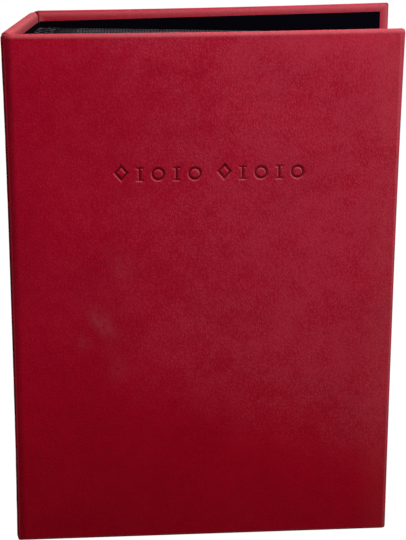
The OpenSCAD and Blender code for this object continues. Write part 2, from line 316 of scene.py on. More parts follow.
def fibre_group():
    """Paper and card: felted fibres and faint cloudiness."""
    g, gin, gout = group("paper fibre",
                         [("NodeSocketVector", "Coords", None), ("NodeSocketFloat", "Fibre Scale", 1800.0)],
                         [("NodeSocketFloat", "Height"), ("NodeSocketFloat", "Tone")])
    w = Wires(g)
    coords = gin.outputs["Coords"]
    felt = w.noise(w.stretched(coords, (1.0, 1.0, 0.35)), gin.outputs["Fibre Scale"], 4.0, 0.65)
    cloud = w.noise(coords, 45.0)
    w.fill(gout, Height=felt, Tone=w.math("MULTIPLY_ADD", felt, 0.5, w.times(cloud, 0.5)))
    return g


GRAIN, WEAR_AND_SHEEN, FIBRE = grain_group(), wear_and_sheen_group(), fibre_group()


# ---------------------------------------------------------------- materials
RED = (0.309, 0.0002, 0.0095)
# Blotches in the leatherette as (noise scale, strength), and what they and the painted highlight line of edges
# and folds add to its red
MOTTLING = ((150.0, 0.34), (60.0, 0.36), (22.0, 0.3))
BLOTCH, HIGHLIGHT_TINT = (0.052, 0.0012, 0.0035, 1.0), (0.035, 0.021, 0.02, 1.0)
# What painted sheen adds to a cover's red: as a veil growing towards its upper fore part, towards its head, and
# along its fore edge
SHEEN_TINT, UPPER_SHEEN_TINT, FORE_SHEEN_TINT = (0.01, 0.0175, 0.0235, 1.0), (0.0, 0.0008, 0.0045, 1.0), (0.0, 0.0055, 0.004, 1.0)
# Smears on the front cover as (x, z, half length, half width, strength), and the way they run
SCUFFS = ((-0.0524, 0.1078, 0.013, 0.0065, 1.0), (-0.0612, 0.0986, 0.008, 0.006, 0.4),
          (-0.0427, 0.1355, 0.014, 0.009, 0.35), (-0.0454, 0.0854, 0.009, 0.007, 0.3))
SCUFF_WAY, SCUFF_TINT = (0.54, -0.84), (0.33, 0.032, 0.045, 1.0)


def material(name, **constants):
    """A new material with some of its shader's inputs set: it, its wires, its shader and Object coordinates."""
    mat = bpy.data.materials.new(name)
    mat.use_nodes = True
    w = Wires(mat.node_tree)
    shader = mat.node_tree.nodes["Principled BSDF"]
    w.fill(shader, **constants)
    return mat, w, shader, w.node("ShaderNodeTexCoord").outputs["Object"]


def bump(w, shader, height, strength, distance):
    relief = w.fill(w.node("ShaderNodeBump"), Strength=strength, Distance=distance, Height=height)
    w.fill(shader, Normal=relief["Normal"])


def shade(c, k):
    return (*[min(1.0, v * k) for v in c], 1.0)


def cover_painted_light(w, coords, tone, mottle, colour):
    """Cover leatherette with painted light: painted shade towards the foot and a little at the head, and a pale
    painted sheen towards the upper fore edge.
    """
    x, _, z = w.axes(coords)
    # Painted shade: level darkens the red towards the foot and a little at the head, and lightens it towards
    # the fore edge
    level = w.times(w.ramp(z, -0.005, 0.09, 0.885, 1.095), w.ramp(z, 0.13, 0.225, 1.0, 0.93),
                    w.ramp(x, -0.09, 0.085, 0.98, 1.05))
    colour = w.mix(1.0, colour, level, "MULTIPLY")
    # Painted sheen: a pale veil growing upwards and towards the fore edge, flecked by mottle and grain
    slant = w.math("MULTIPLY_ADD", x, 0.28, z)
    sheen_area = w.times(w.ramp(slant, 0.042, 0.1), w.ramp(x, -0.1, 0.095, 0.06, 1.0),
                    w.ramp(z, 0.212, 0.24, 1.0, 1.4))
    painted_sheen = w.times(sheen_area, w.ramp(mottle, 0.0, 1.0, 0.6, 1.75), w.ramp(tone, 0.3, 0.72, 0.35, 1.55))
    colour = w.mix(painted_sheen, colour, SHEEN_TINT, "ADD")
    # More painted sheen towards the head and along the fore edge
    colour = w.mix(w.ramp(z, 0.03, 0.14), colour, UPPER_SHEEN_TINT, "ADD")
    return w.mix(w.ramp(x, 0.064, 0.08), colour, FORE_SHEEN_TINT, "ADD")


def scuffed(w, coords, colour):
    """Faint greyish smears on the front cover, where something has rubbed along it."""
    x, y, z = w.axes(coords)
    front_only = w.ramp(y, -0.03, -0.02, 1.0, 0.0)
    patchy = w.times(w.ramp(w.noise(coords, 420.0, 4.0, 0.7), 0.36, 0.66, 0.15, 0.9), front_only)
    run, climb = SCUFF_WAY
    for mid_x, mid_z, length, width, strength in SCUFFS:
        right, up = w.math("SUBTRACT", x, mid_x), w.math("SUBTRACT", z, mid_z)
        along = w.math("ABSOLUTE", w.math("MULTIPLY_ADD", right, run, w.times(up, climb)))
        across = w.math("ABSOLUTE", w.math("MULTIPLY_ADD", right, -climb, w.times(up, run)))
        near = w.times(w.ramp(along, 0.0, length, strength, 0.0), w.ramp(across, 0.0, width, 1.0, 0.0))
        colour = w.mix(w.times(near, patchy), colour, SCUFF_TINT)
    return colour


def leatherette(name, red, wear_and_sheen, cover=False):
    """Red leatherette: grain in relief and tone, painted sheen and rubbed wear on its edges, a painted
    highlight line along them, and painted shade; the stamped strokes are darkened with the shade.
    """
    mat, w, shader, coords = material(name, Specular_IOR_Level=0.015, Sheen_Weight=0.06, Sheen_Roughness=0.4)
    grain = w.use(GRAIN, Coords=coords, Pebble_Scale=1500.0, Pore_Depth=0.5)
    rim, pressed, seam = w.attribute("rim"), w.attribute("pressed"), w.attribute("seam")
    colour = w.mix(grain["Tone"], shade(red, 0.85), shade(red, 1.13))
    glint = w.ramp(grain["Tone"], 0.44, 0.72, 0.0, 0.5)
    colour = w.mix(glint, colour, (red[0] * 1.25, 0.003, red[2] + 0.006, 1.0))
    colour = w.mix(w.ramp(w.noise(coords, 30.0), 0.3, 0.7, 0.0, 0.5), colour, shade(red, 0.84))
    mottle = 0.0
    for scale, strength in MOTTLING:
        mottle = w.math("ADD", w.ramp(w.noise(coords, scale, 2.0), 0.3, 0.7, 0.0, strength), mottle)
    colour = w.mix(mottle, colour, BLOTCH, "ADD")
    if cover:
        colour = scuffed(w, coords, cover_painted_light(w, coords, grain["Tone"], mottle, colour))
    # Painted sheen on edges, tops and turn-ins, as each piece's attribute gives it
    colour = w.mix(w.times(rim, 0.42), colour, (red[0] * 1.32, 0.127, 0.134, 1.0))
    # Painted highlight line along edges and folds
    colour = w.mix(seam, colour, HIGHLIGHT_TINT, "ADD")
    # Paler patches on the edges, partly rubbed wear and partly painted sheen
    worn_and_sheen = w.use(WEAR_AND_SHEEN, Coords=coords, Rim=rim, Amount=wear_and_sheen)["Mask"]
    colour = w.mix(worn_and_sheen, colour, (red[0] * 1.3, red[1] * 4 + 0.02, red[2] * 2.4 + 0.01, 1.0))
    # Painted shade darkens the red here, and so do the stamped strokes
    colour = w.mix(w.times(pressed, 0.84), colour, (red[0] * 0.14, 0.0008, 0.003, 1.0))
    w.fill(shader, Base_Color=colour, Roughness=w.ramp(grain["Tone"], 0.2, 0.8, 0.56, 0.42))
    bump(w, shader, grain["Height"], 0.5, 0.00022)
    return mat


def paper(name, colour, light, rough, scale=1800.0, relief=0.3, gloss=0.1):
    """Paper, card, board or foam: colour in its hollows, light on its fibres."""
    mat, w, shader, coords = material(name, Specular_IOR_Level=gloss)
    fibre = w.use(FIBRE, Coords=coords, Fibre_Scale=scale)
    w.fill(shader, Base_Color=w.mix(fibre["Tone"], shade(colour, 1.0), (*light, 1.0)),
           Roughness=w.ramp(fibre["Tone"], 0.2, 0.8, rough, rough - 0.12))
    bump(w, shader, fibre["Height"], relief, 0.00005)
    return mat


def cloth(name, colour):
    """Open weave: threads across and threads up."""
    mat, w, shader, coords = material(name, Roughness=0.9, Specular_IOR_Level=0.15)
    waves = []
    for direction in "XZ":
        threads = w.node("ShaderNodeTexWave", wave_type="BANDS", bands_direction=direction)
        waves.append(w.fill(threads, Vector=coords, Scale=420.0, Distortion=0.6)["Fac"])
    weave = w.times(*waves)
    w.fill(shader, Base_Color=w.mix(weave, shade(colour, 0.6), shade(colour, 1.1)))
    bump(w, shader, weave, 0.6, 0.0002)
    return mat


def film(name, tint, alpha, rough, gloss=0.1):
    """Thin plastic with a faint haze; its colour is scaled by painted shading, one number for each leaf, darker
    where it is lower.
    """
    mat, w, shader, coords = material(name, Roughness=rough, IOR=1.49, Specular_IOR_Level=gloss)
    haze = w.ramp(w.noise(coords, 60.0), 0.3, 0.7)
    tint = w.mix(haze, shade(tint, 0.8), shade(tint, 1.2))
    w.fill(shader, Base_Color=w.mix(1.0, tint, w.attribute("cloudy"), "MULTIPLY"),
           Alpha=w.ramp(haze, 0.0, 1.0, alpha * 0.85, alpha * 1.15))
    bump(w, shader, w.noise(w.stretched(coords, (1.0, 1.0, 0.5)), 90.0, 2.0), 0.2, 0.0004)
    return mat


def cut_strips(name, dark, pale):
    """Glued-up strips at the spine: dark card with pale flecks at the cut ends, partly pale torn card and
    partly painted glints.
    """
    mat, w, shader, coords = material(name, Roughness=0.85, Specular_IOR_Level=0.0)
    fibre = w.use(FIBRE, Coords=coords, Fibre_Scale=900.0)
    flecks_and_glints = w.ramp(w.noise(w.stretched(coords, (1.0, 1.0, 0.3)), 520.0, 4.0, 0.65), 0.53, 0.6)
    colour = w.mix(fibre["Tone"], shade(dark, 0.6), shade(dark, 1.4))
    w.fill(shader, Base_Color=w.mix(flecks_and_glints, colour, (*pale, 1.0)))
    bump(w, shader, fibre["Height"], 0.5, 0.0001)
    return mat


COVER_RED = leatherette("red leatherette", RED, 0.45, cover=True)
# Darker copies of the cover's red for the spine and the folds: painted shade
SPINE_RED_SHADED = leatherette("red leatherette spine", tuple(v * 0.88 for v in RED), 0.5)
FOLD_RED_SHADED = leatherette("red leatherette fold", tuple(v * 0.85 for v in RED), 0.6)
LINING_BLACK = paper("black lining paper", (0.0006, 0.0004, 0.0014), (0.0016, 0.0012, 0.003), 0.6, gloss=0.012)
CARD_BLACK = paper("black card", (0.003, 0.0027, 0.0045), (0.007, 0.0065, 0.009), 0.7, 1400.0, gloss=0.05)
STRIP_DARK = cut_strips("dark spacer card", (0.0015, 0.0014, 0.002), (0.05, 0.045, 0.05))
STUB_PALE = cut_strips("cut card edge", (0.004, 0.0037, 0.005), (0.08, 0.071, 0.079))
BOARD_GREY = paper("grey board", (0.3, 0.28, 0.25), (0.42, 0.4, 0.36), 0.9, 700.0, 0.5)
FOAM_WHITE = paper("foam sheet", (0.7, 0.68, 0.62), (0.85, 0.83, 0.78), 0.95, 1200.0, 0.6)
MULL = cloth("binding cloth", (0.6, 0.58, 0.52))
FILM = film("clear film", (0.02, 0.02, 0.024), 0.3, 0.32)
WELD = film("frosted weld", (0.055, 0.047, 0.06), 0.95, 0.6, 0.03)
FLAT_WELD = film("flat weld", (0.018, 0.016, 0.021), 0.9, 0.6, 0.02)


# ---------------------------------------------------------------- mesh helpers
def new_object(name, verts, faces, mat, marks=None, recalc=True, smooth=True):
    """A mesh object of one material; marks are attributes with a number for each vertex."""
    mesh = bpy.data.meshes.new(name)
    mesh.from_pydata([tuple(v) for v in verts], [], faces)
    for label, values in (marks or {}).items():
        mesh.attributes.new(label, "FLOAT", "POINT").data.foreach_set("value", np.asarray(values, np.float32))
    if recalc:
        bm = bmesh.new()
        bm.from_mesh(mesh)
        bmesh.ops.recalc_face_normals(bm, faces=bm.faces)
        bm.to_mesh(mesh)
        bm.free()
    mesh.materials.append(mat)
    obj = bpy.data.objects.new(name, mesh)
    bpy.context.scene.collection.objects.link(obj)
    if smooth:
        mesh.polygons.foreach_set("use_smooth", [True] * len(mesh.polygons))
    return obj


def smoothstep(lo, hi, v):
    t = np.clip((v - lo) / (hi - lo), 0, 1)
    return t * t * (3 - 2 * t)


def bell(v, width):
    return np.exp(-((v / width) ** 2))


def lines(*stretches):
    """Grid lines from (start, end, step) stretches, with doubles dropped."""
    out = []
    for a, b, step in stretches:
        n = max(1, round((b - a) / step))
        out += [a + (b - a) * k / n for k in range(n + 1)]
    out.sort()
    kept = [out[0]]
    for v in out[1:]:
        if v - kept[-1] > 1e-4:
            kept.append(v)
    return np.array(kept)


# ---------------------------------------------------------------- stamped ornament
# The band's width, height, middle (x, z) and the gap between its halves; the stroke of its marks, how
# many a half has, and the low ones' height as a share of the tall one's; how deep it is stamped
ORN_W, ORN_H, ORN_X, ORN_Z, ORN_GAP = 87.0, 7.4, 90.5, 178.0, 5.0
STROKE, GROUP_MARKS, SMALL = 0.9, 5, 0.8
STAMP_DEPTH = 0.42


def rhomb_depth(u, v, size):
    """How far inside an upright rhomb of that height each point lies, measured square to its sides."""
    return (1 - np.abs(v) / (size / 2) - np.abs(u) / (size * 0.425)) * size * 0.32


def ornament_depth(x, z):
    """How far inside a stamped stroke each point lies, in mm: over 0 inside."""
    inside = np.full(np.shape(x), -9.0)
    pitch = (ORN_W - ORN_GAP) / (2 * GROUP_MARKS)
    for k in range(2 * GROUP_MARKS):
        tall = k % GROUP_MARKS == 0
        h = ORN_H if tall else ORN_H * SMALL
        u = x - ORN_X + ORN_W / 2 - (k + 0.5) * pitch - (ORN_GAP if k >= GROUP_MARKS else 0)
        v = z - ORN_Z - (h - ORN_H) / 2
        if tall:
            d = np.minimum(rhomb_depth(u, v, h), -rhomb_depth(u, v, h - 3 * STROKE))
        elif k % GROUP_MARKS % 2 == 0:
            d = STROKE / 2 - np.abs(np.hypot(u, v) - (h - STROKE) / 2)
        else:
            stem = np.minimum(STROKE / 2 - np.abs(u), h / 2 - np.abs(v))
            end = np.abs(np.abs(v) - (h / 2 - STROKE / 4))
            feet = np.minimum(1.5 * STROKE - np.abs(u), STROKE / 4 - end)
            d = np.maximum(stem, feet)
        inside = np.maximum(inside, d)
    return inside


def stamped_marks(x, z):
    """On a stamped face: how far it sinks, how dark its strokes are, and a painted highlight on its lips, each
    point for point.

    The painted highlight lies at the lower left of the strokes, where the face turns up and to the right.
    """
    inside = ornament_depth(x, z)
    slope = np.clip((ornament_depth(x + 0.12, z + 0.16) - inside) / 0.18, 0, 1)
    return (STAMP_DEPTH * smoothstep(-0.5, 0.12, inside), smoothstep(0.0, 0.26, inside),
            slope * bell(inside + 0.2, 0.25))


# ---------------------------------------------------------------- padded panels
# Softness of an edge as (in from the edge, depth), on the outer and the inner side
FREE_OUT, FREE_IN = (2.0, 1.95), (2.0, 1.8)
HINGE_OUT, HINGE_IN = (3.6, 1.5), (1.5, 1.6)
HINGE_CORNER_R = 0.7
HOLLOW, MITRE_RIDGE = 0.2, 0.22        # dip of the face beside the rim, height of the turn-ins' mitre
# Borders of a face and how closely they, its middle, the stamp and the panel's thickness are meshed
RIM_W, RING_W = 2.4, 7.0
RIM_STEP, RING_STEP, FLAT_STEP, STAMP_STEP, SIDE_STEP = 0.34, 0.46, 4, 0.25, 0.36
STAMP_SPARE = 1
OUTER_SIDE, TURNED_IN = 2.2, PANEL_T - 1.9     # how deep marks of the outer side go, where turn-ins begin
# The doubled leatherette spreads the panels a little at (head, foot)
FOLD_SPREAD, FORE_SPREAD, NO_SPREAD = (0.85, 0.7), (0.95, 0.3), (0.0, 0.0)


def eased(a, b, lo_a, hi_a, lo_b, hi_b, shape):
    """Turn the square corners of a section into round ones: the moves for a and b.

    shape has the reach along a and along b of the corners at low a and b, high a, high b, and both.
    """
    low_a, low_b = a < (lo_a + hi_a) / 2, b < (lo_b + hi_b) / 2
    ra, rb = np.zeros_like(a), np.zeros_like(b)
    for pick, (r, d) in ((low_a & low_b, shape[0]), (~low_a & low_b, shape[1]),
                         (low_a & ~low_b, shape[2]), (~low_a & ~low_b, shape[3])):
        ra[pick], rb[pick] = r, d
    qa = np.clip(a, lo_a + ra, hi_a - ra)
    qb = np.clip(b, lo_b + rb, hi_b - rb)
    ua, ub = (a - qa) / ra, (b - qb) / rb
    far, most = np.hypot(ua, ub), np.maximum(np.abs(ua), np.abs(ub))
    k = np.where(far > 0, most / np.where(far > 0, far, 1), 1)
    return qa + ua * k * ra - a, qb + ub * k * rb - b


def flare(z, spread):
    """How far an edge stands out at height z, for its spread at (head, foot)."""
    s = (z - COVER_H / 2) / (COVER_H / 2)
    return np.where(s > 0, spread[0], spread[1]) * s * s


def stamp_range(middle, size):
    """The stretch that a stamp takes, with a little to spare."""
    return middle - size / 2 - STAMP_SPARE, middle + size / 2 + STAMP_SPARE


def panel_lines(lo, hi, stamp=None):
    """Grid lines across a panel: close together along its rims, and over the stamp if there is one."""
    ends = [(lo, lo + RIM_W, RIM_STEP), (lo + RIM_W, lo + RING_W, RING_STEP),
            (hi - RING_W, hi - RIM_W, RING_STEP), (hi - RIM_W, hi, RIM_STEP)]
    if stamp is None:
        return lines(*ends, (lo + RING_W, hi - RING_W, FLAT_STEP))
    a, b = stamp
    return lines(*ends, (lo + RING_W, a, FLAT_STEP), (a, b, STAMP_STEP), (b, hi - RING_W, FLAT_STEP))


def panel_skin(xs, ys, zs):
    """The six sides of a box as a grid: points and faces.

    The middle of the inner side, which lies under the lining, is one large face.
    """
    nx, ny, nz = len(xs) - 1, len(ys) - 1, len(zs) - 1
    index, pts, faces = {}, [], []

    def face(*corners):
        for key in corners:
            if key not in index:
                index[key] = len(pts)
                pts.append((xs[key[0]], ys[key[1]], zs[key[2]]))
        faces.append(tuple(index[key] for key in corners))

    def middle(grid):
        kept = [k for k, v in enumerate(grid) if grid[0] + RING_W - 1e-3 <= v <= grid[-1] - RING_W + 1e-3]
        return kept[0], kept[-1]

    (i0, i1), (j0, j1) = middle(xs), middle(zs)
    for i in range(nx):
        for j in range(nz):
            face((i, 0, j), (i + 1, 0, j), (i + 1, 0, j + 1), (i, 0, j + 1))
    for i in range(nx):
        for j in range(nz):
            if not (i0 <= i < i1 and j0 <= j < j1):
                face((i, ny, j), (i, ny, j + 1), (i + 1, ny, j + 1), (i + 1, ny, j))
    loop = [(i, ny, j0) for i in range(i0, i1)] + [(i1, ny, j) for j in range(j0, j1)]
    loop += [(i, ny, j1) for i in range(i1, i0, -1)] + [(i0, ny, j) for j in range(j1, j0, -1)]
    face(*loop)
    for k in range(ny):
        for j in range(nz):
            for i in (0, nx):
                face((i, k, j), (i, k + 1, j), (i, k + 1, j + 1), (i, k, j + 1))
        for i in range(nx):
            for j in (0, nz):
                face((i, k, j), (i + 1, k, j), (i + 1, k + 1, j), (i, k + 1, j))
    return np.array(pts), faces


def softened(x, y, z, x0, x1, hinges, corner):
    """The points of a square panel once its edges and corners are round."""
    side_out = [HINGE_OUT if h else FREE_OUT for h in hinges]
    side_in = [HINGE_IN if h else FREE_IN for h in hinges]
    ax, ay = eased(x, y, x0, x1, 0, PANEL_T, side_out + side_in)
    bz, by = eased(z, y, 0, COVER_H, 0, PANEL_T, [FREE_OUT, FREE_OUT, FREE_IN, FREE_IN])
    round_at = [(HINGE_CORNER_R,) * 2 if h else (r,) * 2 for r in corner for h in hinges]
    cx, cz = eased(x, z, x0, x1, 0, COVER_H, round_at)
    return x + ax + cx, y + ay + by, z + bz + cz


def panel_marks(y, pz, aways, edge, from_z, below, hinges, head_shade):
    """Where a panel gets painted sheen, painted shade and a painted highlight line, from 0 to 1.

    aways holds the distances from its two long sides, edge the one from the nearest rim,
    from_z the one from head or foot, and below the one from the head as it was laid.
    """
    sides = np.full(len(y), 99.0)
    for hinge, away in zip(hinges, aways):
        sides = sides if hinge else np.minimum(sides, away)
    # Painted sheen: a band at the head, a narrow strip by the free sides and at the foot, and the turn-ins,
    # fading inwards
    head = smoothstep(-0.1, 0.6, below) * (1 - smoothstep(0.85, 2.2, below))
    narrow = 0.3 * (1 - smoothstep(0.4, 1.7, np.minimum(sides, pz)))
    begin = -0.3 if all(hinges) else 0.1
    fading = 0.9 - 0.6 * smoothstep(1.6, 3.2, edge) - 0.3 * smoothstep(3.2, 5.5, edge)
    turned = smoothstep(begin, begin + 1.2, edge) * fading
    rim = np.where(y > TURNED_IN, turned, np.maximum(head * (y < 2.1), narrow))
    # A painted highlight line a little in from the free sides and the foot, and along the free sides inside
    seam = np.maximum(bell(sides - 1.1, 0.35), bell(pz - 1.0, 0.35))
    seam = np.where(y < OUTER_SIDE, seam, 0.7 * bell(sides - 1.2, 0.35)) * smoothstep(0.1, 0.5, COVER_H - pz)
    # Painted shade at the head, and on the turn-ins away from their edge
    width, strength = head_shade
    pressed = strength * (1 - smoothstep(0.0, 0.5, below)) * (1 - smoothstep(width, width + 1.2, y))
    pressed = np.maximum(pressed, 0.2 * smoothstep(2.0, 4.5, edge) * (y > TURNED_IN))
    # Painted shade along a hinge, deeper higher up, and a painted shadow of the mitre pleat at each free corner
    # inside
    for hinge, away in zip(hinges, aways):
        if hinge:
            deep = 0.32 + 0.28 * smoothstep(90, 200, pz)
            dark = np.where(y < OUTER_SIDE, deep * (1 - smoothstep(0.2, 3.8, away)), 0)
        else:
            pleat_shadow = (1 - smoothstep(0.9, 2.1, np.hypot(away, from_z))) * smoothstep(0.6, 2.0, y)
            dark = 0.9 * pleat_shadow
        pressed = np.maximum(pressed, dark)
    return rim, pressed, seam


def panel_mesh(name, place, x0, x1, mat, hinges=(True, False), stamped=False, spread=(NO_SPREAD,) * 3,
               rise=(0, 0, 0), corner=(1.5, 1.5), head_shade=(0.8, 0.12)):
    """Leatherette wrapped round one panel: soft rims, turn-ins with mitred corners.

    hinges tells which of the two long sides carries a fold; spread is the flare of the low
    side, the high side and the outer face; rise is how far the hand-laid head stands off
    square at the low side, the middle and the high side; corner is the free corners' radius
    at foot and head; head_shade is how deep and how strongly the head is darkened.
    """
    over_x, over_z = (stamp_range(ORN_X, ORN_W), stamp_range(ORN_Z, ORN_H)) if stamped else (None, None)
    xs, ys, zs = panel_lines(x0, x1, over_x), lines((0, PANEL_T, SIDE_STEP)), panel_lines(0, COVER_H, over_z)
    pts, faces = panel_skin(xs, ys, zs)
    x, y, z = pts.T
    outer, inner = y == ys[0], y == ys[-1]
    px, py, pz = softened(x, y, z, x0, x1, hinges, corner)
    from_x, from_z = np.minimum(px - x0, x1 - px), np.minimum(pz, COVER_H - pz)
    edge = np.minimum(from_x, from_z)
    py = py + np.where(outer, HOLLOW * (1 - smoothstep(2.0, 13, edge)) * smoothstep(0.3, 2.0, edge), 0)
    stamp = [np.where(outer, v, 0) for v in stamped_marks(px, pz)] if stamped else [np.zeros(len(x))] * 3
    py = py + stamp[0]
    near = (from_x < RING_W) & (from_z < RING_W) & inner
    for low, hinge in zip((True, False), hinges):
        if not hinge:
            this = near & ((px < (x0 + x1) / 2) == low)
            ridge = MITRE_RIDGE * bell(from_x - from_z, 0.4) * smoothstep(1.0, 2.4, edge)
            py = py - np.where(this, ridge, 0)
    along = np.clip((px - x0) / (x1 - x0), 0, 1)
    px = px + flare(pz, spread[1]) * along - flare(pz, spread[0]) * (1 - along)
    py = py - flare(pz, spread[2]) * (1 - y / PANEL_T)
    low, mid, high = rise
    off = low + along * (4 * mid - 3 * low - high) + along ** 2 * (2 * low + 2 * high - 4 * mid)
    pz = pz + off * (pz / COVER_H) ** 3
    rim, pressed, seam = panel_marks(y, pz, (px - x0, x1 - px), edge, from_z, COVER_H + off - pz,
                                     hinges, head_shade)
    # The stamp's painted highlight joins the painted sheen, and its dark strokes join the painted shade
    marks = {"rim": np.maximum(rim, 0.85 * stamp[2]), "pressed": np.maximum(pressed, stamp[1]), "seam": seam}
    return new_object(name, place.world(np.stack([px, py, pz], axis=-1)), faces, mat, marks)


def ride(obj, body, slot, *nodes):
    """Give a piece its body, and hide the nodes that it stands for; slot is not used."""
    if nodes:
        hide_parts(*nodes)
    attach(obj, body)


FRONT_PAD_X, BACK_PAD_X = PANEL_X - 0.45, PANEL_X - 0.8        # where the covers' leatherette begins
front_cover = panel_mesh("front_cover_leatherette", FRONT, FRONT_PAD_X, COVER_W, COVER_RED, stamped=True,
                         spread=(FOLD_SPREAD, FORE_SPREAD, NO_SPREAD), rise=(-0.1, -0.02, 0.95),
                         corner=(1.25, 1.7))
ride(front_cover, "front_cover", "leatherette", "front_leatherette")
back_cover = panel_mesh("back_cover_leatherette", BACK, BACK_PAD_X, COVER_W - 0.3, COVER_RED,
                        spread=(NO_SPREAD, (0.0, 0.3), NO_SPREAD), rise=(0.35, -0.1, 0.35), corner=(0.3, 1.1),
                        head_shade=(2.4, 0.3))
ride(back_cover, "back_cover", "leatherette", "back_leatherette")
spine_panel = panel_mesh("spine_leatherette_wrap", SPINE, JOINT_W, SPINE_W - JOINT_W + 0.7, SPINE_RED_SHADED,
                         hinges=(True, True), spread=(NO_SPREAD, NO_SPREAD, FOLD_SPREAD))
ride(spine_panel, "spine", "leatherette", "spine_leatherette")


# ---------------------------------------------------------------- folded joints
# The fold's last stretch under the cover, as (reach from the hinge, depth of its groove)
COVER_GROOVE = ((3.4, 0.95), (2.6, 0.95), (1.9, 0.9), (1.3, 0.8), (0.8, 0.6), (0.4, 0.28))
COVER_STEPS = len(COVER_GROOVE)
TURN_STEPS = 12                                       # stretches of the turn round the hinge
SPINE_REACH = (0.6, 1.3, 2.1, 3.0, 4.0, 4.8, 5.6)     # points of the stretch over the spine's edge
END_H, PALE_H = 9, 3                                  # how much of the fold's ends is shaped, and given painted sheen
ROUND_STEPS, HEAD_DROP, PUCKER = 8, 0.9, 0.07         # its rounding, its head under the cover, its waves
FOLD_HIGHLIGHT = {0: 0.5, 1: 1.0, 2: 0.5}                  # painted highlight line up the fold, by steps past the cover's edge
LINING_INSET = 4.5                                    # how far the lining stays off head and foot


def fold_path(hinge, cover_a, normal_a, spine_a, spine_normal_a):
    """Outer face of the fold in plan, as points with the direction inwards, cover side first.

    The angles are the headings of the cover, its outer side, the spine and the spine's outer side.
    """
    pts = []
    for reach, sink in COVER_GROOVE:
        pts.append((hinge + (FOLD_R - sink) * heading(normal_a) + reach * heading(cover_a), -heading(normal_a)))
    for k in range(TURN_STEPS + 1):
        a = normal_a + (spine_normal_a - normal_a) * k / TURN_STEPS
        pts.append((hinge + FOLD_R * heading(a), -heading(a)))
    out = heading(spine_normal_a)
    for reach in SPINE_REACH:
        pts.append((hinge + FOLD_R * out + reach * heading(spine_a), -out))
    return pts


def skin_section():
    """Section down the leatherette: depth from the outer face and height, round its edge once."""
    top, foot = COVER_H - JOINT_DROP, JOINT_DROP
    thick, thin = SKIN_T + 0.15, SKIN_T
    heights = lines((foot + 0.5, foot + 2.5, 0.5), (foot + 2.5, top - 2.5, 6), (top - 2.5, top - 0.5, 0.5))
    outer = [(0.0, z) for z in heights]
    head = [(0.06, top - 0.2), (0.2, top), (0.46, top), (0.6, top - 0.25)]
    down = [(thick, top - 0.6), (thick, top - TURNIN_W + 1), (thin, top - TURNIN_W)]
    up = [(thin, foot + TURNIN_W), (thick, foot + TURNIN_W - 1), (thick, foot + 0.6)]
    heel = [(0.6, foot + 0.25), (0.46, foot), (0.2, foot), (0.06, foot + 0.2)]
    return outer + head + down + up + heel


def lining_section():
    """Section down the black lining inside the fold: a thin sheet, crossing the turn-ins."""
    heights = lines((LINING_INSET, COVER_H - LINING_INSET, 7))
    return [(-0.1, z) for z in heights] + [(0.1, z) for z in heights[::-1]]


def lining_path(cover, x0, spine_end):
    """Black lining across a joint, slack: over the cover's edge, into the joint, up the spine's edge."""
    def at(place, x, y):
        return place.root + x * place.along + y * place.across
    s = 1 if spine_end < SPINE_W / 2 else -1
    down = ((1.2, 0.12), (0.5, 0.1), (0.02, -0.25), (-0.12, -0.9), (-0.15, -1.7), (-0.05, -2.2))
    climb = ((-1.35, 1.95), (-0.35, 1.98), (-0.14, 2.3), (-0.1, 3.2), (0.02, 3.85),
             (0.5, PANEL_T + 0.1), (1.1, PANEL_T + 0.12))
    pts = [at(cover, x0 + x, PANEL_T + y) for x, y in down]
    pts += [at(SPINE, spine_end + x * s, y) for x, y in climb]
    out = []
    for k, p in enumerate(pts):
        a, b = pts[max(k - 1, 0)], pts[min(k + 1, len(pts) - 1)]
        t = (b - a) / max(np.hypot(*(b - a)), 1e-6)
        out.append((p, s * np.array([-t[1], t[0]])))
    return out


def fold_mesh(name, path, section, mat, shift=0.0, corner=0.0, lift=0.0):
    """Sweep a section along a path in plan.

    shift moves it with the spine's flare and corner rounds its ends, seen from the front. lift
    raises its head beyond the cover's edge; under the cover the head is kept low.
    """
    verts, rim, fold_shade, line, n = [], [], [], [], len(section)
    for s, (spot, inward) in enumerate(path):
        turn = min(max((s - COVER_STEPS + 1) / ROUND_STEPS, 0), 1)
        cut = corner * (1 - math.sqrt(1 - turn ** 2))
        for d, z in section:
            pucker = PUCKER * math.sin(z * 0.9 + s * 0.5) * math.sin(z * 0.23)
            p = spot + inward * (d + pucker * (1 if 2 < s < len(path) - 3 else 0))
            top = float(smoothstep(COVER_H - END_H, COVER_H, z))
            up = cut * (1 - float(smoothstep(0, END_H, z))) - 0.25 * cut * top
            up += top * (lift if s >= COVER_STEPS - 1 else -HEAD_DROP)
            verts.append((p[0] - shift * float(flare(z, FOLD_SPREAD)), p[1], z + up))
            # Painted sheen on the fold's head past the cover, painted shade over the fold (more round the turn
            # higher up), and a painted highlight line up it past the cover's edge
            rim.append(0.6 if z > COVER_H - PALE_H and s > COVER_STEPS + 1 else 0.0)
            high = float(smoothstep(90, 200, z))
            fold_shade.append(0.5 if s < COVER_STEPS else 0.3 + 0.3 * high if s < COVER_STEPS + 6 else 0.35)
            line.append(FOLD_HIGHLIGHT.get(s - COVER_STEPS, 0.0) if z < COVER_H - PALE_H else 0.0)
    faces = []
    for s in range(len(path) - 1):
        for k in range(n):
            a, b = s * n + k, s * n + (k + 1) % n
            faces.append((a, b, b + n, a + n))
    faces.append(tuple(range(n)))
    faces.append(tuple((len(path) - 1) * n + k for k in range(n))[::-1])
    marks = {"rim": rim, "pressed": fold_shade, "seam": line}
    return new_object(name, PLAN.world(np.array(verts)), faces, mat, marks)


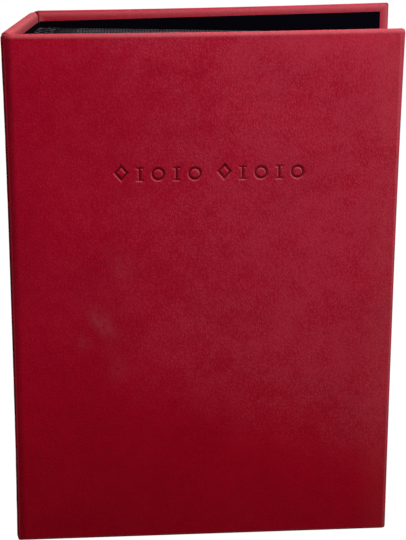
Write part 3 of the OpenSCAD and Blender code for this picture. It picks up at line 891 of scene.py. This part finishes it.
def fold_joint(side, place, path, panel_x0, spine_end, shift, corner, lift):
    """Leatherette and black lining across one joint, from the cover round to the spine."""
    skin = fold_mesh(side + "_joint_fold", path, skin_section(), FOLD_RED_SHADED, shift, corner, lift)
    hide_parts(side + "_joint")
    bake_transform(skin)
    sheet = fold_mesh(side + "_joint_lining", lining_path(place, panel_x0, spine_end), lining_section(),
                      LINING_BLACK)
    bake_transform(sheet)


fold_joint("front", FRONT, fold_path(FRONT_HINGE, 0.0, math.radians(270), SPINE_A, math.pi - SPINE_LEAN),
           FRONT_PAD_X, JOINT_W, shift=1.0, corner=1.7, lift=0.1)
fold_joint("back", BACK,
           fold_path(BACK_HINGE, BACK_AJAR, math.pi / 2 + BACK_AJAR, SPINE_A + math.pi, math.pi - SPINE_LEAN),
           BACK_PAD_X, SPINE_W - JOINT_W,
           shift=0.0, corner=0.6, lift=0.45)


# ---------------------------------------------------------------- pockets
RIB_PITCH, RIB_W, RIB_H, RIB_START, RIB_END = 1.45, 0.95, 0.28, 9.0, 3.0
PLAIN_LEAF_SHADING = 0.8                      # painted shading of a leaf's film, a factor on its colour, but for these leaves
# Painted shade on leaves 16, 19 and 20, and painted light on leaves 17 and 18
LEAF_PAINTED_SHADING = {16: 0.5, 17: 1.1, 18: 0.95, 19: 0.5, 20: 0.25}
SIGHT = (29.6, -696.0, 0.03)           # x, y and slope of a line along which the leaves' ribs line up
SUNK, FILM_CLEAR = 0.02, 0.01          # how far a rib reaches into the film, and air between film and card
PUFF_RISE = 4                          # height beside a weld that is meshed finely, where the film bellies out


def rib_tree():
    """Geometry nodes: a row of small upright ribs, as a heated roller presses them in a weld."""
    g, gin, gout = group("weld ribs",
                         [("NodeSocketFloat", "Length", 0.15), ("NodeSocketFloat", "Pitch", 0.0012),
                          ("NodeSocketFloat", "Rib Width", 0.0006), ("NodeSocketFloat", "Rib Height", 0.00014),
                          ("NodeSocketFloat", "Weld Width", 0.003), ("NodeSocketMaterial", "Material", None)],
                         [("NodeSocketGeometry", "Geometry")], kind="GeometryNodeTree")
    w, size = Wires(g), gin.outputs
    count = w.math("FLOOR", w.math("DIVIDE", size["Length"], size["Pitch"]))
    step = w.fill(w.node("ShaderNodeCombineXYZ"), X=size["Pitch"])
    row = w.fill(w.node("GeometryNodeMeshLine", mode="OFFSET"), Count=count, Offset=step[0])
    whole = w.fill(w.node("ShaderNodeCombineXYZ"), X=size["Rib Width"], Y=size["Rib Height"],
                   Z=size["Weld Width"])
    rib = w.fill(w.node("GeometryNodeMeshCube"), Size=whole[0])
    copies = w.fill(w.node("GeometryNodeInstanceOnPoints"), Points=row["Mesh"], Instance=rib["Mesh"])
    real = w.fill(w.node("GeometryNodeRealizeInstances"), Geometry=copies[0])
    painted = w.fill(w.node("GeometryNodeSetMaterial"), Geometry=real[0], Material=size["Material"])
    w.fill(gout, Geometry=painted[0])
    return g


def tree_inputs(tree):
    return [i for i in tree.interface.items_tree if i.item_type == "SOCKET" and i.in_out == "INPUT"]


def rib_row(tree, length):
    """The rib tree run once: vertices in mm and faces, for a row that starts at x = 0."""
    holder = bpy.data.objects.new("rib row", bpy.data.meshes.new("rib row"))
    bpy.context.scene.collection.objects.link(holder)
    mod = holder.modifiers.new("weld ribs", "NODES")
    mod.node_group = tree
    sizes = {"Length": length / 1000, "Pitch": RIB_PITCH / 1000, "Rib Width": RIB_W / 1000,
             "Rib Height": RIB_H / 1000, "Weld Width": WELD_W / 1000, "Material": WELD}
    for item in tree_inputs(tree):
        mod[item.identifier] = sizes[item.name]
    bpy.context.view_layer.update()
    mesh = bpy.data.meshes.new_from_object(holder.evaluated_get(bpy.context.evaluated_depsgraph_get()))
    pts = np.array([v.co for v in mesh.vertices]) * 1000
    faces = [tuple(p.vertices) for p in mesh.polygons]
    bpy.data.objects.remove(holder)
    bpy.data.meshes.remove(mesh)
    return pts, faces


def sleeve_parts(ribs):
    """Film on both sides of one card in the leaf's own frame, puffed between its welds.

    Also gives each face's material (0 film, 1 the welds' ribs, 2 film pressed flat in a weld)
    and which points belong to ribs.
    """
    verts, faces, kinds, ribbed = [], [], [], []
    xs = lines((MOUTH_X, LEAF_W - FORE_WELD_W, 13), (LEAF_W - FORE_WELD_W, LEAF_W, 1))
    row = (LEAF_Z1 - LEAF_Z0 - WELD_W) / 2
    welds = [LEAF_Z0 + row * k for k in range(3)]
    stretches = [(a, a + WELD_W, 1.5) for a in welds]
    for a in welds[:2]:
        foot, head = a + WELD_W + PUFF_RISE, a + row - PUFF_RISE
        stretches += [(a + WELD_W, foot, 1.3), (foot, head, 12), (head, a + row, 1.3)]
    zs = lines(*stretches)
    nz, n = len(zs), len(xs) * len(zs)
    low = CARD_T / 2 + FILM_CLEAR
    rib_pts, rib_faces = ribs
    for side in (1, -1):
        # two layers of film, the inner one first, as grids
        base = len(verts)
        for layer in (0, 1):
            for x in xs:
                for z in zs:
                    off = min(max(max(a - z, z - a - WELD_W), 0) for a in welds)
                    off = min(off, max(LEAF_W - FORE_WELD_W - x, 0))
                    wavy = 0.86 + 0.14 * math.sin(x * 0.11 + z * 0.07)
                    puff = POCKET_GAP * float(smoothstep(0, 5, off)) * wavy
                    verts.append((x, side * (low + puff + (FILM_T - FILM_CLEAR) * layer), z))
        for i in range(len(xs) - 1):
            for j in range(nz - 1):
                a = base + i * nz + j
                q = (a, a + nz, a + nz + 1, a + 1)
                faces += [q[::side], tuple(v + n for v in q)[::-side]]
                flat = any(w0 - 0.1 < zs[j] < w0 + WELD_W - 0.1 for w0 in welds)
                kinds += [2 * flat] * 2
        # the film's cut edge all round
        ring = [i * nz for i in range(len(xs))] + [(len(xs) - 1) * nz + j for j in range(1, nz)]
        ring += [i * nz + nz - 1 for i in range(len(xs) - 2, -1, -1)] + [j for j in range(nz - 2, 0, -1)]
        for a, b in zip(ring, ring[1:] + ring[:1]):
            q = (base + b, base + a, base + a + n, base + b + n)
            faces.append(q[::side])
        kinds += [2] * (len(faces) - len(kinds))
        # a row of ribs on each weld
        for a in welds:
            base = len(verts)
            put = rib_pts * np.array([1, side, 1])
            put = put + np.array([RIB_START, side * (low + FILM_T - SUNK + RIB_H / 2), a + WELD_W / 2])
            ribbed += range(base, base + len(put))
            verts += [tuple(p) for p in put]
            faces += [tuple(base + v for v in f)[::side] for f in rib_faces]
        kinds += [1] * (len(faces) - len(kinds))
    return np.array(verts), faces, kinds, ribbed


def rib_phase(place):
    """How far a leaf's ribs move along it so that one of them stands on the line of sight."""
    x, y, slope = SIGHT
    gap = x + slope * (place.root[1] - y) - place.root[0]
    along = gap / (place.along[0] - slope * place.along[1])
    return (along - RIB_START) % RIB_PITCH


ribs = rib_row(rib_tree(), LEAF_W - RIB_START - RIB_END)
sleeve_verts, sleeve_faces, sleeve_kinds, sleeve_ribs = sleeve_parts(ribs)
for i in range(1, LEAVES + 1):
    name = "leaf_%02d" % i
    own = sleeve_verts.copy()
    own[sleeve_ribs, 0] += rib_phase(leaf_place(i))
    cloudy = LEAF_PAINTED_SHADING.get(i, PLAIN_LEAF_SHADING) * np.ones(len(own))
    sleeve = new_object(name + "_pockets", leaf_place(i).world(own), sleeve_faces, FILM, {"cloudy": cloudy},
                        recalc=False, smooth=False)
    sleeve.data.materials.append(WELD)
    sleeve.data.materials.append(FLAT_WELD)
    sleeve.data.polygons.foreach_set("material_index", sleeve_kinds)
    ride(sleeve, name, "clear_film", name + "_sleeve")


# ---------------------------------------------------------------- pieces kept from the solids
def repaint(node, mat):
    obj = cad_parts[node]
    if not obj.material_slots:
        obj.data.materials.append(mat)
    for s in obj.material_slots:
        s.link = "OBJECT"
        s.material = mat


for side in ("front", "spine", "back"):
    repaint(side + "_board", BOARD_GREY)
    repaint(side + "_padding", FOAM_WHITE)
    repaint(side + "_lining", LINING_BLACK)
repaint("binding_cloth", MULL)
repaint("spacer_strips", STRIP_DARK)
repaint("leaf_stubs", STUB_PALE)
for i in range(1, LEAVES + 1):
    repaint("leaf_%02d_card" % i, CARD_BLACK)

bpy.context.scene.view_settings.view_transform = "Standard"
